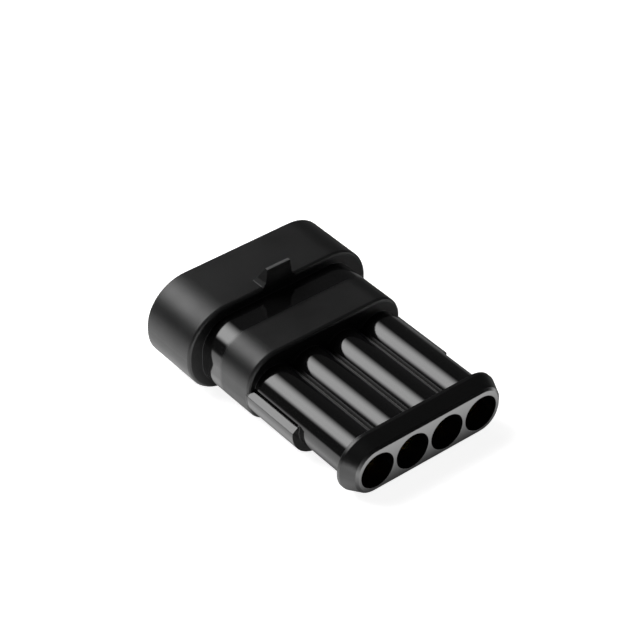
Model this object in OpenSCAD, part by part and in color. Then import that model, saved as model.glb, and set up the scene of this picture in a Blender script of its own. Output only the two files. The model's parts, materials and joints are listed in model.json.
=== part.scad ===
// Sealed four-way cap connector: tab contacts in a one-piece moulded housing.
// Origin: centre of the row of wire entries, on the rear face.
// +X runs along the row, +Y toward the mating end, +Z toward the latch side.

/* [Ways] */
// Distance between neighbouring contacts
pitch = 6; // [5.8:0.1:7]

/* [Wire entries] */
// Diameter of each wire entry
entry_d = 5.5; // [5.4:0.05:5.7]
// Length of the wide mouth of each entry
entry_length = 5.5; // [4.5:0.1:6]
// Diameter of the bore that takes the seal
seal_bore_d = 5.1; // [4.6:0.05:5.15]
// Length of the seal bore in front of the seal's ribbed body
seal_bore_margin = 1.5; // [1:0.1:2]
// Outer diameter of the tube around each bore
tube_d = 6.9; // [6.4:0.1:7.4]

/* [Rear flange] */
// Flat rim between the end entries and the ends of the rear face
rear_face_side_rim = 0.4; // [0.2:0.05:0.8]
// Flat rim above and below the entries on the rear face
rear_face_rim = 0.55; // [0.4:0.05:1.2]
// Corner radius of the rear face
rear_face_corner = 2.95; // [2:0.05:3.3]
// Shift of the flange toward the latch side
flange_rise = 0.14; // [0:0.02:0.3]
// Chamfer around the rear face, measured outward
flange_chamfer = 0.4; // [0.1:0.05:0.5]
// Length of that chamfer
flange_chamfer_length = 0.3; // [0.2:0.05:0.6]
// Growth of the flange from the chamfer to its front edge
flange_flare = 0.8; // [0.3:0.05:1.2]
// Extra growth of the flange at its two ends
flange_end_flare = 0.2; // [0:0.05:0.6]
// Corner radius of the flange's front edge
flange_corner = 4.25; // [3.5:0.05:4.3]
// Distance from the rear face to the end of the flare
flange_slope = 2.3; // [1.5:0.1:3]
// Length of the straight land in front of the flare
flange_land = 0.5; // [0.3:0.1:1]

/* [Side rails] */
// Wall of the rail that wraps each end tube
rail_wall = 1.1; // [0.8:0.05:1.5]
// Free length of the rail behind the block
rail_length = 9.7; // [7:0.1:12]
// Height of the rail's top lip above the row of entries
rail_top = 1; // [0.6:0.05:1.4]
// Slope of the rail's top, in degrees
rail_slope = 36; // [20:1:45]
// Width of the groove between rail and tube
rail_groove = 0.35; // [0.2:0.05:0.5]
// Depth of that groove
rail_groove_depth = 0.35; // [0.2:0.05:0.6]
// Solid stop at the rear end of the groove
rail_groove_stop = 0.35; // [0.2:0.05:1]

/* [Block] */
// Distance from the rear face to the block
block_start = 21.7; // [20:0.1:24]
// Length of the block
block_length = 10.3; // [9.5:0.1:12]
// Width of the block
block_w = 26.7; // [25.6:0.1:29]
// Height of the block
block_h = 11.3; // [10.6:0.1:12.5]
// Corner radius of the block
block_corner = 4.66; // [4.2:0.02:5.2]
// Rounding of the block's rear edge
block_edge = 0.45; // [0.2:0.05:0.6]
// Wall of the block around the lock plate
block_wall = 1.35; // [1.1:0.05:1.6]

/* [Mating shroud] */
// Width of the shroud
shroud_w = 31.3; // [30.4:0.1:34]
// Height of the shroud
shroud_h = 13.7; // [13.3:0.1:15]
// Corner radius of the shroud
shroud_corner = 6.45; // [6:0.05:6.6]
// Rounding of the shroud's rear edge
shroud_edge = 0.4; // [0.2:0.05:0.6]
// Length of the shroud
shroud_length = 9.6; // [8.5:0.1:12]
// Shift of the shroud toward the latch side
shroud_rise = 0.4; // [0:0.05:0.6]
// Wall of the shroud
shroud_wall = 1.3; // [1:0.05:1.6]
// Thickness of the step between block and shroud
shroud_step = 1.3; // [1:0.1:2]
// Depth of the lead-in at the mating mouth
lead_in = 0.6; // [0.3:0.05:1]

/* [Latch lug] */
// Width of the lug at its foot
lug_w = 5.5; // [5:0.1:7]
// Width of the lug at its top edge
lug_top_w = 3.9; // [2.6:0.1:4.2]
// Width of the lug above its flared foot
lug_waist_w = 4.5; // [4.2:0.1:4.8]
// Height of the lug
lug_h = 2.75; // [1.8:0.05:3]
// Height of the lug's flared foot
lug_waist_h = 0.6; // [0.4:0.1:1.2]
// Length of the lug at its foot
lug_length = 2.3; // [1.8:0.1:4]
// Length of the flat land on the lug's top
lug_land = 0.5; // [0.4:0.05:0.8]
// Radius of the lug's catching edge
lug_edge = 0.15; // [0.1:0.05:0.3]

/* [Contact chambers] */
// Thickness of the wall in front of the chambers
front_wall = 1.4; // [1:0.1:2]
// Distance from the rear face to the front wall's mating side
floor_y = 28; // [27:0.1:29]

/* [Tab contacts] */
// Width of the contact's blade
blade_w = 1.5; // [1.2:0.05:1.8]
// Thickness of the blade
blade_t = 0.8; // [0.6:0.05:0.9]
// Free length of the blade in front of the floor
blade_reach = 10.4; // [8:0.1:11]
// Length of the blade's tapered tip
blade_tip = 0.9; // [0.5:0.1:1.4]
// Width of the contact's box
box_w = 2.3; // [2:0.05:2.5]
// Height of the contact's box
box_h = 2.3; // [2:0.05:2.4]
// Length of the contact's box
box_length = 6.2; // [5.5:0.1:6.8]
// Thickness of the contact's sheet
sheet = 0.3; // [0.2:0.05:0.35]
// Outer diameter of the conductor crimp
crimp_d = 2; // [1.8:0.05:2.2]
// Length of the conductor crimp
crimp_length = 3; // [2.5:0.1:3.4]
// Length of the open channel between box and conductor crimp
channel_length = 2; // [1.5:0.1:2.4]
// Width of the strip between the two crimps
strip_w = 1.2; // [0.8:0.1:1.5]
// Length of that strip
strip_length = 0.6; // [0.4:0.05:0.8]
// Length of the seal crimp
grip_length = 2; // [1.6:0.1:2.4]
// Width of the locking lance
lance_w = 1; // [0.8:0.05:1.2]
// Length of the locking lance
lance_length = 2.6; // [2:0.1:3]
// Rise of the locking lance's free end
lance_rise = 0.55; // [0.4:0.05:0.6]

/* [Wire seals] */
// Length of the seal's ribbed body
seal_length = 6.6; // [5:0.1:7]
// Depth of the grooves between the ribs
rib_depth = 0.4; // [0.2:0.05:0.6]
// Diameter of the seal's neck
neck_d = 2.5; // [2.2:0.05:2.8]
// Bore for the wire
wire_d = 1.7; // [1.2:0.05:1.8]

/* [Lock plate] */
// Thickness of the plate
plate_t = 1.8; // [1.4:0.1:2.4]
// Height of the rim around the plate's front
plate_rim = 1.1; // [0.8:0.1:1.6]
// Thickness of that rim
plate_rim_wall = 0.9; // [0.7:0.05:1.2]
// Width of each locking finger
finger_w = 1.9; // [1.5:0.05:2.2]
// Thickness of each finger
finger_t = 0.55; // [0.4:0.05:0.6]
// Length of each finger behind the plate
finger_length = 3.6; // [3:0.1:4.5]

/* [Fits] */
// Clearance around blades in their windows
window_gap = 0.25; // [0.15:0.01:0.35]
// Clearance around the lock plate
plate_gap = 0.2; // [0.1:0.01:0.3]
// Clearance between a finger and its slot or the contact above it
finger_gap = 0.12; // [0.08:0.01:0.15]
// Clearance of a contact's box in front of and above it
box_gap = 0.12; // [0.05:0.01:0.2]
// Clearance on each side of a contact's box
box_side_gap = 0.3; // [0.15:0.01:0.35]
// Clearance around a locking lance in its pocket
lance_gap = 0.15; // [0.08:0.01:0.2]
// Clearance of the seal's ribs in the bore
seal_gap = 0.06; // [0.03:0.01:0.1]

/* [Hidden] */
$fn = 64;
eps = 0.01;
WAYS = 4;

way_xs = [for (i = [1:WAYS]) (i - (WAYS + 1) / 2) * pitch];
end_way_x = way_xs[WAYS - 1];

// Flange
rear_face_w = 2 * end_way_x + entry_d + 2 * rear_face_side_rim;
rear_face_h = entry_d + 2 * rear_face_rim;
flange_w = rear_face_w + 2 * (flange_chamfer + flange_flare + flange_end_flare);
flange_h = rear_face_h + 2 * (flange_chamfer + flange_flare);

// Rails
rail_r = tube_d / 2 + rail_wall;
rail_rear_y = block_start - rail_length;
groove_foot_x = sqrt(pow(tube_d / 2, 2) - pow(rail_top, 2));
rail_lip_x = groove_foot_x + rail_groove;

// Shroud
shroud_start = block_start + block_length;
shroud_end = shroud_start + shroud_length;
shroud_top = shroud_rise + shroud_h / 2;
mouth_w = shroud_w - 2 * shroud_wall;
mouth_h = shroud_h - 2 * shroud_wall;
mouth_corner = shroud_corner - shroud_wall;
lead_in_growth = shroud_wall / 3;

// Contact chambers
chamber_w = box_w + 2 * box_side_gap;
chamber_top = box_h / 2 + box_gap;
finger_top = -box_h / 2 - finger_gap;
chamber_bottom = finger_top - finger_t - finger_gap;
chamber_front = floor_y - front_wall;
funnel_length = 0.8;
funnel_end_d = chamber_w + funnel_length;
window_w = blade_w + 2 * window_gap;
window_h = blade_t + 2 * window_gap;

// Contact, from the blade back to the seal
box_front = chamber_front - box_gap;
box_rear = box_front - box_length;
crimp_front = box_rear - channel_length;
crimp_rear = crimp_front - crimp_length;
grip_front = crimp_rear - strip_length;
grip_rear = grip_front - grip_length;
grip_d = neck_d + 2 * sheet;
lance_root = box_front - 4 * sheet;
lance_tip = lance_root - lance_length;

// Seal
seal_d = seal_bore_d - 2 * seal_gap;
seal_core_d = seal_d - 2 * rib_depth;
seal_rear = grip_rear - seal_length;
seal_bore_end = grip_rear + seal_bore_margin;
RIBS = 3;
rib_spacing = seal_length / RIBS;
rib_round = rib_spacing / 4;

// Lock plate
well_w = block_w - 2 * block_wall;
well_h = block_h - 2 * block_wall;
well_corner = block_corner - block_wall;
plate_w = well_w - 2 * plate_gap;
plate_h = well_h - 2 * plate_gap;
plate_corner = well_corner - plate_gap;

// A 2D outline in X and Z, extruded along Y from y0 to y1
module along_y(y0, y1) {
    translate([0, y1, 0])
        rotate([90, 0, 0])
            linear_extrude(height = y1 - y0)
                children();
}

// A 2D outline in Y and Z, extruded along X and centred on x = 0
module across_x(w) {
    rotate([90, 0, 90])
        linear_extrude(height = w, center = true)
            children();
}

// A round bar along Y
module rod_y(d, y0, y1) {
    translate([0, y0, 0])
        rotate([-90, 0, 0])
            cylinder(d = d, h = y1 - y0);
}

// A block along Y, centred on x = 0
module bar_y(w, z0, z1, y0, y1) {
    translate([-w / 2, y0, z0])
        cube([w, y1 - y0, z1 - z0]);
}

// A rectangle with round corners, as straight parts and true arcs
module rounded(w, h, r) {
    square([w, h - 2 * r], center = true);
    square([w - 2 * r, h], center = true);
    for (sx = [-1, 1], sz = [-1, 1])
        translate([sx * (w / 2 - r), sz * (h / 2 - r)])
            circle(r = r);
}

// One copy of the children at each way
module each_way() {
    for (x = way_xs)
        translate([x, 0, 0])
            children();
}

// One corner of a loft: a cone along Y whose axis leans from centre [x0, z0] to centre [x1, z1]
module leaning_cone(x0, z0, r0, y0, x1, z1, r1, y1) {
    run = y1 - y0;
    multmatrix([[1, 0, (x1 - x0) / run, x0], [0, 0, 1, y0], [0, -1, (z1 - z0) / run, z0], [0, 0, 0, 1]])
        cylinder(r1 = r0, r2 = r1, h = run);
}

// Slab between the corners of a loft: half widths a and half heights b at y0 and y1
module leaning_slab(a0, b0, y0, a1, b1, y1) {
    intersection() {
        linear_extrude(height = 2 * max(b0, b1), center = true)
            polygon([[-a0, y0], [a0, y0], [a1, y1], [-a1, y1]]);
        across_x(2 * max(a0, a1))
            polygon([[y0, -b0], [y0, b0], [y1, b1], [y1, -b1]]);
    }
}

// Loft from one rounded outline [width, height, radius] to another, as flat walls and true cones
module loft(from, to, y0, y1) {
    a0 = from[0] / 2 - from[2];
    b0 = from[1] / 2 - from[2];
    a1 = to[0] / 2 - to[2];
    b1 = to[1] / 2 - to[2];
    leaning_slab(a0, from[1] / 2, y0, a1, to[1] / 2, y1);
    leaning_slab(from[0] / 2, b0, y0, to[0] / 2, b1, y1);
    for (sx = [-1, 1], sz = [-1, 1])
        leaning_cone(sx * a0, sz * b0, from[2], y0, sx * a1, sz * b1, to[2], y1);
}

// Outline [width, height, radius] drawn in by d on every side
function inset(outline, d) = [outline[0] - 2 * d, outline[1] - 2 * d, outline[2] - d];

// A body that runs 1 mm past y0 and y1, its outline drawn in by d at y0 and widening by the slope
module widening(outline, d, slope, y0, y1) {
    loft(inset(outline, d + slope), inset(outline, d - slope * (y1 + 1 - y0)), y0 - 1, y1 + 1);
}

// A body along Y with an outline [width, height, radius], its rear edge eased in two chamfers
module eased_body(outline, edge, y0, y1) {
    step = 0.3 * edge;
    intersection() {
        along_y(y0, y1)
            rounded(outline[0], outline[1], outline[2]);
        widening(outline, edge, (edge - step) / step, y0, y1);
        widening(outline, edge * step / (edge - step), step / (edge - step), y0, y1);
    }
}

// Rear flange: a chamfer around the flat rear face, a flare to the front edge and a short land
module flange() {
    rear = [rear_face_w, rear_face_h, rear_face_corner];
    middle = inset(rear, -flange_chamfer);
    front = [flange_w, flange_h, flange_corner];
    translate([0, 0, flange_rise]) {
        loft(rear, middle, 0, flange_chamfer_length);
        loft(middle, front, flange_chamfer_length, flange_slope);
        along_y(flange_slope, flange_slope + flange_land)
            rounded(flange_w, flange_h, flange_corner);
    }
}

// Section of the right-hand rail, about the axis of the end tube
module rail_section() {
    drop = (2 * rail_r - rail_lip_x) * tan(rail_slope);
    intersection() {
        circle(r = rail_r);
        polygon([
            [0, -2 * rail_r], [0, rail_top], [rail_lip_x, rail_top],
            [2 * rail_r, rail_top - drop], [2 * rail_r, -2 * rail_r]
        ]);
    }
}

module rail() {
    difference() {
        along_y(rail_rear_y, block_start + block_edge)
            rail_section();
        bar_y(2 * rail_lip_x, rail_top - rail_groove_depth, rail_r, rail_rear_y + rail_groove_stop, block_start + 1);
    }
}

module rails() {
    for (side = [0, 1])
        mirror([side, 0, 0])
            translate([end_way_x, 0, 0])
                rail();
}

// Side view of the lug: upright catching face, short top land and a steep front, with a round rear edge
module lug_profile() {
    foot = -shroud_wall / 2;
    polygon([
        [0, foot], [0, lug_h - lug_edge], [lug_edge, lug_h - lug_edge], [lug_edge, lug_h],
        [lug_land, lug_h], [lug_length, 0], [lug_length, foot]
    ]);
    translate([lug_edge, lug_h - lug_edge])
        circle(r = lug_edge);
}

// Rear view of the lug: a flared foot, then sides that lean in toward its top
module lug_outline() {
    polygon([
        [-lug_w / 2, -shroud_wall], [-lug_w / 2, 0], [-lug_waist_w / 2, lug_waist_h], [-lug_top_w / 2, lug_h],
        [lug_top_w / 2, lug_h], [lug_waist_w / 2, lug_waist_h], [lug_w / 2, 0], [lug_w / 2, -shroud_wall]
    ]);
}

module latch_lug() {
    translate([0, shroud_start, shroud_top])
        intersection() {
            along_y(0, lug_length)
                lug_outline();
            across_x(lug_w)
                lug_profile();
        }
}

// Mouth, seal bore, funnel, contact chamber, lance pocket, blade window and finger slot of one way
module way_cuts() {
    rod_y(entry_d, -1, entry_length);
    rod_y(seal_bore_d, entry_length - 1, seal_bore_end);
    translate([0, seal_bore_end - eps, 0])
        rotate([-90, 0, 0])
            cylinder(d1 = seal_bore_d, d2 = funnel_end_d, h = funnel_length);
    bar_y(chamber_w, chamber_bottom, chamber_top, seal_bore_end - 1, chamber_front);
    bar_y(lance_w + 2 * lance_gap, 0, box_h / 2 + lance_rise + lance_gap, lance_tip - lance_gap, lance_root + lance_gap);
    bar_y(window_w, -window_h / 2, window_h / 2, chamber_front - 1, floor_y + 1);
    bar_y(finger_w + 2 * finger_gap, chamber_bottom, finger_top + finger_gap, chamber_front - 1, floor_y + 1);
}

// Well for the lock plate, mating cavity and its lead-in
module mating_cuts() {
    mouth = [mouth_w, mouth_h, mouth_corner];
    along_y(floor_y, shroud_end)
        rounded(well_w, well_h, well_corner);
    translate([0, 0, shroud_rise]) {
        along_y(shroud_start + shroud_step, shroud_end + 1)
            rounded(mouth_w, mouth_h, mouth_corner);
        loft(mouth, inset(mouth, -lead_in_growth), shroud_end - lead_in, shroud_end);
    }
}

module housing() {
    color("#1d1d1e")
        difference() {
            union() {
                flange();
                each_way()
                    rod_y(tube_d, flange_slope / 2, block_start + 1);
                rails();
                eased_body([block_w, block_h, block_corner], block_edge, block_start, shroud_start + eps);
                translate([0, 0, shroud_rise])
                    eased_body([shroud_w, shroud_h, shroud_corner], shroud_edge, shroud_start, shroud_end);
                latch_lug();
            }
            each_way()
                way_cuts();
            mating_cuts();
        }
}

// Secondary lock: plate, front rim, blade windows and one finger under each contact
module lock_plate() {
    color("#d9d4c4") {
        difference() {
            along_y(floor_y, floor_y + plate_t + plate_rim)
                rounded(plate_w, plate_h, plate_corner);
            along_y(floor_y + plate_t, floor_y + plate_t + plate_rim + 1)
                rounded(plate_w - 2 * plate_rim_wall, plate_h - 2 * plate_rim_wall, plate_corner - plate_rim_wall);
            each_way()
                bar_y(window_w, -window_h / 2, window_h / 2, floor_y - 1, floor_y + plate_t + 1);
        }
        each_way()
            across_x(finger_w)
                polygon([
                    [floor_y + plate_t / 2, finger_top], [floor_y + plate_t / 2, finger_top - finger_t],
                    [floor_y - finger_length + finger_t, finger_top - finger_t],
                    [floor_y - finger_length, finger_top - finger_t / 2], [floor_y - finger_length, finger_top]
                ]);
    }
}

// Blade with a tip tapered on all four sides
module blade() {
    tip = floor_y + blade_reach;
    intersection() {
        across_x(blade_w)
            polygon([
                [box_front - sheet, -blade_t / 2], [tip - blade_tip, -blade_t / 2], [tip, -blade_t / 6],
                [tip, blade_t / 6], [tip - blade_tip, blade_t / 2], [box_front - sheet, blade_t / 2]
            ]);
        linear_extrude(height = blade_t, center = true)
            polygon([
                [-blade_w / 2, box_front - sheet], [blade_w / 2, box_front - sheet], [blade_w / 2, tip - blade_tip],
                [blade_w / 4, tip], [-blade_w / 4, tip], [-blade_w / 2, tip - blade_tip]
            ]);
    }
}

// Folded box with its front wall, and the lance bent up from its top
module contact_box() {
    difference() {
        bar_y(box_w, -box_h / 2, box_h / 2, box_rear, box_front);
        bar_y(box_w - 2 * sheet, -box_h / 2 + sheet, box_h / 2 - sheet, box_rear - 1, box_front - sheet);
    }
    across_x(lance_w)
        polygon([
            [lance_root, box_h / 2 - sheet], [lance_root, box_h / 2],
            [lance_tip, box_h / 2 + lance_rise], [lance_tip, box_h / 2 + lance_rise - sheet]
        ]);
}

// Open channel behind the box
module channel() {
    difference() {
        bar_y(crimp_d, -box_h / 2, 0, crimp_front - eps, box_rear + eps);
        bar_y(crimp_d - 2 * sheet, -box_h / 2 + sheet, 1, crimp_front - 1, box_rear + 1);
    }
}

// A rolled barrel with an open seam on top
module barrel(inner_d, y0, y1) {
    difference() {
        rod_y(inner_d + 2 * sheet, y0, y1);
        rod_y(inner_d, y0 - 1, y1 + 1);
        bar_y(sheet / 2, 0, inner_d, y0 - 1, y1 + 1);
    }
}

// Strip that steps down from the conductor crimp to the seal crimp
module crimp_strip() {
    across_x(strip_w)
        polygon([
            [crimp_rear + sheet, -crimp_d / 2], [crimp_rear + sheet, -crimp_d / 2 + sheet],
            [crimp_rear, -crimp_d / 2 + sheet], [grip_front, -grip_d / 2 + sheet],
            [grip_front - sheet, -grip_d / 2 + sheet], [grip_front - sheet, -grip_d / 2],
            [grip_front, -grip_d / 2], [crimp_rear, -crimp_d / 2]
        ]);
}

module tab_contact(x) {
    color("#c9cbc9")
        translate([x, 0, 0]) {
            blade();
            contact_box();
            channel();
            barrel(crimp_d - 2 * sheet, crimp_rear, crimp_front);
            crimp_strip();
            barrel(neck_d, grip_rear, grip_front);
        }
}

// Half section of a seal: core, rounded ribs, neck and wire bore
module seal_section() {
    difference() {
        union() {
            translate([0, seal_rear])
                square([seal_core_d / 2, seal_length]);
            translate([0, grip_rear - eps])
                square([neck_d / 2, grip_length]);
            for (i = [0:RIBS - 1])
                translate([seal_d / 2 - rib_round, seal_rear + (i + 0.5) * rib_spacing])
                    circle(r = rib_round);
        }
        translate([-wire_d, seal_rear - 1])
            square([1.5 * wire_d, seal_length + grip_length + 2]);
    }
}

module wire_seal(x) {
    color("#d8b23a")
        translate([x, 0, 0])
            rotate([-90, 0, 0])
                rotate_extrude()
                    seal_section();
}

housing();
lock_plate();
tab_contact(way_xs[0]);  // tab_contact_1
tab_contact(way_xs[1]);  // tab_contact_2
tab_contact(way_xs[2]);  // tab_contact_3
tab_contact(way_xs[3]);  // tab_contact_4
wire_seal(way_xs[0]);  // wire_seal_1
wire_seal(way_xs[1]);  // wire_seal_2
wire_seal(way_xs[2]);  // wire_seal_3
wire_seal(way_xs[3]);  // wire_seal_4
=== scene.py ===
"""Sealed four-way cap connector, dressed for a plain studio picture."""

import json
import math

import bpy
from mathutils import Matrix, Vector


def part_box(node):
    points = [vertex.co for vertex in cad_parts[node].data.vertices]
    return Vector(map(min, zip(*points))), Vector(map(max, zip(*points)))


MM = 0.001

# Places on the housing, in metres: the block and the glossy end of it beside the shroud, the flange's front and
# lowest point, the height at which the lug starts, and the outer wire ways' distance from the middle
BLOCK_LENGTH = 10.3 * MM
GLOSS_BAND = 4.6 * MM
FLANGE_END = 2.8 * MM
FLANGE_LOW = -4.35 * MM
LUG_FOOT = 7.25 * MM
END_WAY = 9 * MM

# Camera
VIEW_AZIMUTH = math.radians(39.49)
VIEW_ELEVATION = math.radians(38.96)
VIEW_ROLL = math.radians(0.635)
VIEW_DISTANCE = 296.87 * MM
LENS = 127.1
AIM_SIDE = -14.456 * MM
AIM_UP = 15.958 * MM

# Light: the floor as the camera sees it, the floor's painted glow in reflections (a pool before the rear face,
# one on the left and a dim glow elsewhere), and the world
FLOOR_WHITE = 0.88
FLOOR_FRONT = 5.0
FLOOR_LEFT = 1.6
FLOOR_DIM = 0.2
WORLD_LIGHT = 0.06
FLOOR_REACH = 1.2

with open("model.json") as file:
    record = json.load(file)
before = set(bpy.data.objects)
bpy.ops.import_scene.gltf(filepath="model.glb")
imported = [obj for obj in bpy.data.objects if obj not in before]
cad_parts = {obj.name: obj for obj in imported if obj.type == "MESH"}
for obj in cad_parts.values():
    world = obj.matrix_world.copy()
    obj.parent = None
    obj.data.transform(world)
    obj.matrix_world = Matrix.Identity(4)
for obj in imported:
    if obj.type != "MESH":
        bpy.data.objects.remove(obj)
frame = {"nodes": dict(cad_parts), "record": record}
bpy.context.view_layer.update()
nodes = frame["nodes"]
mounts = {m["name"]: m for m in frame["record"]["mounts"]}
housing_low, housing_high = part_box("housing")
shroud_start = mounts["latch_lug"]["pos_m"][1]
block_start = shroud_start - BLOCK_LENGTH
gloss_start = shroud_start - GLOSS_BAND


# ---------------------------------------------------------------- node helpers

class Shader:
    """A material's node tree, with short calls for the nodes used here."""

    def __init__(self, name):
        self.material = bpy.data.materials.new(name)
        self.material.use_nodes = True
        self.tree = self.material.node_tree
        self.surface = self.tree.nodes["Principled BSDF"]
        self.output = self.tree.nodes["Material Output"]
        self.place = self.node("ShaderNodeTexCoord").outputs["Object"]

    def node(self, kind, **settings):
        made = self.tree.nodes.new(kind)
        for key, value in settings.items():
            setattr(made, key, value)
        return made

    def link(self, source, target):
        self.tree.links.new(source, target)

    def set(self, **values):
        for key, value in values.items():
            self.surface.inputs[key.replace("_", " ")].default_value = value

    def math(self, operation, first, second=None, third=None, clamp=False):
        made = self.node("ShaderNodeMath", operation=operation, use_clamp=clamp)
        for socket, value in zip(made.inputs, (first, second, third)):
            self.feed(socket, value)
        return made.outputs[0]

    def feed(self, socket, value):
        if value is None:
            return
        if hasattr(value, "is_output"):
            self.link(value, socket)
        else:
            socket.default_value = value

    def axes(self, vector):
        """The X, Y and Z outputs of a vector."""
        made = self.node("ShaderNodeSeparateXYZ")
        self.link(vector, made.inputs[0])
        return made.outputs

    def noise(self, size, detail=3.0, roughness=0.5, stretch=None):
        """Noise whose features are about size metres across."""
        made = self.node("ShaderNodeTexNoise")
        made.inputs["Scale"].default_value = 1.0 / size
        made.inputs["Detail"].default_value = detail
        made.inputs["Roughness"].default_value = roughness
        if stretch:
            mapping = self.node("ShaderNodeMapping")
            mapping.inputs["Scale"].default_value = stretch
            self.link(self.place, mapping.inputs["Vector"])
            self.link(mapping.outputs[0], made.inputs["Vector"])
        else:
            self.link(self.place, made.inputs["Vector"])
        return made.outputs["Fac"]

    def remap(self, value, low, high, to_low=0.0, to_high=1.0, smooth=False):
        made = self.node("ShaderNodeMapRange")
        made.interpolation_type = "SMOOTHSTEP" if smooth else "LINEAR"
        for name, item in (("Value", value), ("From Min", low), ("From Max", high),
                           ("To Min", to_low), ("To Max", to_high)):
            self.feed(made.inputs[name], item)
        return made.outputs[0]

    def mix(self, factor, first, second):
        made = self.node("ShaderNodeMix", data_type="RGBA")
        self.feed(made.inputs[0], factor)
        self.feed(made.inputs[6], first)
        self.feed(made.inputs[7], second)
        return made.outputs[2]

    def blend(self, factor, first, second):
        made = self.node("ShaderNodeMix", data_type="FLOAT")
        self.feed(made.inputs[0], factor)
        self.feed(made.inputs[2], first)
        self.feed(made.inputs[3], second)
        return made.outputs[0]

    def emission(self, strength):
        made = self.node("ShaderNodeEmission")
        self.feed(made.inputs["Strength"], strength)
        return made.outputs[0]

    def rounded_edges(self, radius):
        """Normals that turn softly over edges, as moulded and stamped parts have them."""
        made = self.node("ShaderNodeBevel", samples=6)
        made.inputs["Radius"].default_value = radius
        return made.outputs[0]

    def bump(self, height, distance, strength=1.0, normal=None):
        made = self.node("ShaderNodeBump")
        made.inputs["Distance"].default_value = distance
        self.feed(made.inputs["Strength"], strength)
        self.link(height, made.inputs["Height"])
        if normal:
            self.link(normal, made.inputs["Normal"])
        return made.outputs[0]


# ---------------------------------------------------------------- materials

def housing_nylon():
    """Black nylon: glossy tubes and rails, satin flange, fine matte texture on the block and the shroud.

    The flanks between the tubes are duller, and the lug's top edge is painted pale as a painted highlight.
    """
    s = Shader("housing_nylon")
    x, y, z = s.axes(s.place)
    edge = 0.03 * MM
    flange = s.remap(y, FLANGE_END, FLANGE_END + edge, 1.0, 0.0)
    block = s.math("MULTIPLY", s.remap(y, block_start - edge, block_start),
                   s.remap(y, gloss_start, gloss_start + 1.2 * MM, 1.0, 0.0, smooth=True))
    shroud = s.remap(y, shroud_start - edge, shroud_start)
    lug = s.math("MULTIPLY", shroud, s.remap(z, LUG_FOOT + edge, LUG_FOOT + 4 * edge))
    facing = s.axes(s.node("ShaderNodeNewGeometry").outputs["Normal"])["X"]
    flank = s.math("MAXIMUM", s.remap(facing, 0.40, 0.60), s.remap(facing, -0.90, -0.80, 1, 0))
    inner = s.remap(s.math("ABSOLUTE", x), END_WAY, END_WAY + 0.5 * MM, 1.0, 0.0)
    valley = s.math("MULTIPLY", inner, flank)
    # Painted highlight: a thin band along the lug's top edge gets a pale base colour in place of the line of
    # light it catches
    painted_highlight_edge = s.math("MULTIPLY", lug, s.remap(z, housing_high.z - 2 * edge, housing_high.z - edge))
    matte = s.math("MAXIMUM", block, shroud)
    textured = s.math("MAXIMUM", matte, flange)
    cloud = s.noise(6 * MM, detail=4)
    grain = s.noise(0.10 * MM, detail=2)
    gloss = s.math("ADD", s.remap(cloud, 0.3, 0.7, 0.06, 0.10), s.math("MULTIPLY", valley, 0.3))
    satin = s.blend(flange, s.remap(cloud, 0.3, 0.7, 0.41, 0.49), 0.33)
    s.link(s.blend(lug, s.blend(textured, gloss, satin), 0.8), s.surface.inputs["Roughness"])
    colour = s.mix(textured, (0.0050, 0.0050, 0.0051, 1), (0.0035, 0.0035, 0.0037, 1))
    # The lug's top edge is painted pale grey here as a highlight
    s.link(s.mix(painted_highlight_edge, colour, (0.11, 0.11, 0.11, 1)), s.surface.inputs["Base Color"])
    waves = s.bump(cloud, 0.003 * MM, normal=s.rounded_edges(0.12 * MM))
    texture = s.bump(grain, 0.012 * MM, s.remap(textured, 0, 1, 0.03, 0.5), waves)
    s.link(texture, s.surface.inputs["Normal"])
    s.set(IOR=1.53)
    return s.material


def lock_nylon():
    """Natural nylon, satin, a little translucent."""
    s = Shader("lock_nylon")
    cloud = s.noise(3 * MM, detail=3)
    s.link(s.mix(cloud, (0.62, 0.58, 0.47, 1), (0.70, 0.66, 0.56, 1)), s.surface.inputs["Base Color"])
    s.link(s.remap(cloud, 0.3, 0.7, 0.32, 0.42), s.surface.inputs["Roughness"])
    grain = s.bump(s.noise(0.15 * MM, detail=2), 0.01 * MM, 0.4, s.rounded_edges(0.06 * MM))
    s.link(grain, s.surface.inputs["Normal"])
    s.set(Subsurface_Weight=0.15, Subsurface_Scale=1.5 * MM, IOR=1.5)
    return s.material


def tinned_contact():
    """Bright tin over copper alloy, with fine rolling lines along the strip."""
    s = Shader("tinned_contact")
    lines = s.noise(0.5 * MM, detail=3, stretch=(6, 0.25, 6))
    s.link(s.mix(lines, (0.72, 0.71, 0.69, 1), (0.80, 0.80, 0.78, 1)), s.surface.inputs["Base Color"])
    s.link(s.remap(lines, 0.3, 0.7, 0.22, 0.32), s.surface.inputs["Roughness"])
    s.link(s.bump(lines, 0.004 * MM, 0.15, s.rounded_edges(0.03 * MM)), s.surface.inputs["Normal"])
    s.set(Metallic=1.0)
    return s.material


def seal_silicone():
    """Yellow silicone, satin, with faint mould bloom."""
    s = Shader("seal_silicone")
    cloud = s.noise(1.2 * MM, detail=4)
    s.link(s.mix(cloud, (0.60, 0.36, 0.03, 1), (0.72, 0.47, 0.07, 1)), s.surface.inputs["Base Color"])
    s.link(s.remap(cloud, 0.3, 0.7, 0.42, 0.58), s.surface.inputs["Roughness"])
    s.link(s.bump(s.noise(0.12 * MM), 0.01 * MM, 0.3), s.surface.inputs["Normal"])
    s.set(Subsurface_Weight=0.2, Subsurface_Scale=0.8 * MM, IOR=1.42)
    return s.material


FINISHES = {
    "housing_nylon": housing_nylon(),
    "lock_nylon": lock_nylon(),
    "tinned_contact": tinned_contact(),
    "seal_silicone": seal_silicone(),
}


# ---------------------------------------------------------------- CAD nodes

for part in frame["record"]["subparts"]:
    obj = nodes[part["node"]]
    for slot in obj.material_slots:
        slot.material = FINISHES[part["material_slot"]]


# ---------------------------------------------------------------- camera

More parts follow.
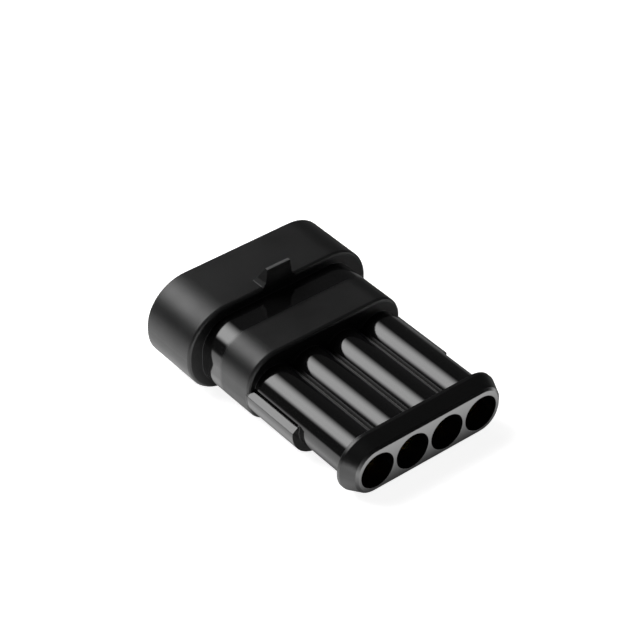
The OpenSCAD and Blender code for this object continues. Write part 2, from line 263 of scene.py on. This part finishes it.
def photo_camera():
    """The picture's camera: a long lens from behind, to the left and above."""
    look = Vector((
        math.sin(VIEW_AZIMUTH) * math.cos(VIEW_ELEVATION),
        math.cos(VIEW_AZIMUTH) * math.cos(VIEW_ELEVATION),
        -math.sin(VIEW_ELEVATION),
    ))
    level = Vector((math.cos(VIEW_AZIMUTH), -math.sin(VIEW_AZIMUTH), 0))
    turn = Matrix.Rotation(-VIEW_ROLL, 3, look)
    side = turn @ level
    up = side.cross(look)
    data = bpy.data.cameras.new("camera")
    data.lens = LENS
    data.sensor_width = 36
    data.clip_start = 0.01
    camera = bpy.data.objects.new("camera", data)
    place = -VIEW_DISTANCE * look + AIM_SIDE * side + AIM_UP * up
    camera.matrix_world = Matrix((
        (side.x, up.x, -look.x, place.x),
        (side.y, up.y, -look.y, place.y),
        (side.z, up.z, -look.z, place.z),
        (0, 0, 0, 1),
    ))
    bpy.context.scene.collection.objects.link(camera)
    bpy.context.scene.camera = camera


photo_camera()


# ---------------------------------------------------------------- floor and light

def grid(name, matrix, size):
    """A flat square sheet of the given size, placed by the matrix."""
    bpy.ops.mesh.primitive_grid_add(x_subdivisions=2, y_subdivisions=2, size=size)
    sheet = bpy.context.object
    sheet.name = name
    sheet.matrix_world = matrix
    return sheet


def floor():
    """A white sheet that touches the shroud's underside and the flange's lower edge."""
    shroud_low = housing_low.z
    flange_y = 2.5 * MM
    tilt = math.atan2(FLANGE_LOW - shroud_low, shroud_start - flange_y)
    touch = Matrix.Translation((0, shroud_start, shroud_low - 0.02 * MM))
    sheet = grid("floor", touch @ Matrix.Rotation(-tilt, 4, "X"), 2 * FLOOR_REACH)
    s = Shader("floor_white")
    s.set(Base_Color=(0.8, 0.8, 0.8, 1), Roughness=0.9)
    s.surface.inputs["Specular IOR Level"].default_value = 0.0
    ray = s.node("ShaderNodeLightPath")
    seen = s.emission(s.math("MULTIPLY", ray.outputs["Is Camera Ray"], FLOOR_WHITE))
    lit = s.node("ShaderNodeAddShader")
    s.link(s.surface.outputs[0], lit.inputs[0])
    s.link(seen, lit.inputs[1])
    # Painted light in reflections: glossy rays see a bright pool in front of the rear face and a weaker one on
    # the left, both fading out close to the part as painted shade, and a dim glow elsewhere
    x, y = s.axes(s.node("ShaderNodeNewGeometry").outputs["Position"])[:2]
    front = s.math("MULTIPLY", s.remap(y, -7 * MM, -0.2 * MM, 1, 0, smooth=True),
                   s.remap(y, -24 * MM, -9 * MM, 0, FLOOR_FRONT, smooth=True))
    left = s.math("MULTIPLY", s.remap(x, -16 * MM, -11 * MM, 1, 0, smooth=True),
                  s.remap(x, -120 * MM, -30 * MM, 0, FLOOR_LEFT, smooth=True))
    painted_reflection_glow = s.emission(s.math("ADD", s.math("MAXIMUM", front, left), FLOOR_DIM))
    mirrored = s.math("MAXIMUM", ray.outputs["Is Glossy Ray"], ray.outputs["Is Transmission Ray"])
    both = s.node("ShaderNodeMixShader")
    s.link(mirrored, both.inputs[0])
    s.link(lit.outputs[0], both.inputs[1])
    s.link(painted_reflection_glow, both.inputs[2])
    s.link(both.outputs[0], s.output.inputs["Surface"])
    sheet.data.materials.append(s.material)


def softbox(name, toward, distance, width, height, radiance, edges):
    """A light panel that faces the part from the direction toward, unseen by the camera.

    Its edges fade out over the given shares of its size: left, right, top and bottom, seen from behind the part.
    """
    aim = Vector(toward).normalized()
    centre = Vector((0, 0.02, 0))
    facing = aim.to_track_quat("Z", "Y").to_matrix().to_4x4()
    size = Matrix.Diagonal((width, height, 1, 1))
    panel = grid(name, Matrix.Translation(centre + aim * distance) @ facing @ size, 1)
    s = Shader(name)
    across, along = s.axes(s.place)[:2]
    left, right, top, bottom = edges
    shape = s.math("MULTIPLY", s.remap(across, 0.5 - left, 0.5, 1, 0, smooth=True),
                   s.remap(across, -0.5, right - 0.5, 0, 1, smooth=True))
    shape = s.math("MULTIPLY", shape, s.remap(along, 0.5 - top, 0.5, 1, 0, smooth=True))
    shape = s.math("MULTIPLY", shape, s.remap(along, -0.5, bottom - 0.5, 0, 1, smooth=True))
    s.link(s.emission(s.math("MULTIPLY", shape, radiance)), s.output.inputs["Surface"])
    panel.data.materials.append(s.material)
    panel.visible_camera = False


def studio_world():
    """White where the camera sees past the floor, and a faint even light for everything else."""
    world = bpy.data.worlds.new("studio")
    world.use_nodes = True
    bpy.context.scene.world = world
    tree = world.node_tree
    strength = tree.nodes.new("ShaderNodeMapRange")
    tree.links.new(tree.nodes.new("ShaderNodeLightPath").outputs["Is Camera Ray"], strength.inputs["Value"])
    strength.inputs["To Min"].default_value = WORLD_LIGHT
    strength.inputs["To Max"].default_value = 1.0
    sky = tree.nodes["Background"]
    sky.inputs["Color"].default_value = (1, 1, 1, 1)
    tree.links.new(strength.outputs[0], sky.inputs["Strength"])


floor()
softbox("key", (-0.245, 0.641, 0.727), 0.8, 0.84, 0.70, 6.4, (0.25, 0.55, 0.25, 0.25))
softbox("front_fill", (0.1, 0.97, 0.26), 0.6, 0.5, 0.28, 3.0, (0.3, 0.3, 0.3, 0.3))
studio_world()

bpy.context.scene.view_settings.view_transform = "Standard"

# ---------------------------------------------------------------- final scene update

bpy.context.view_layer.update()
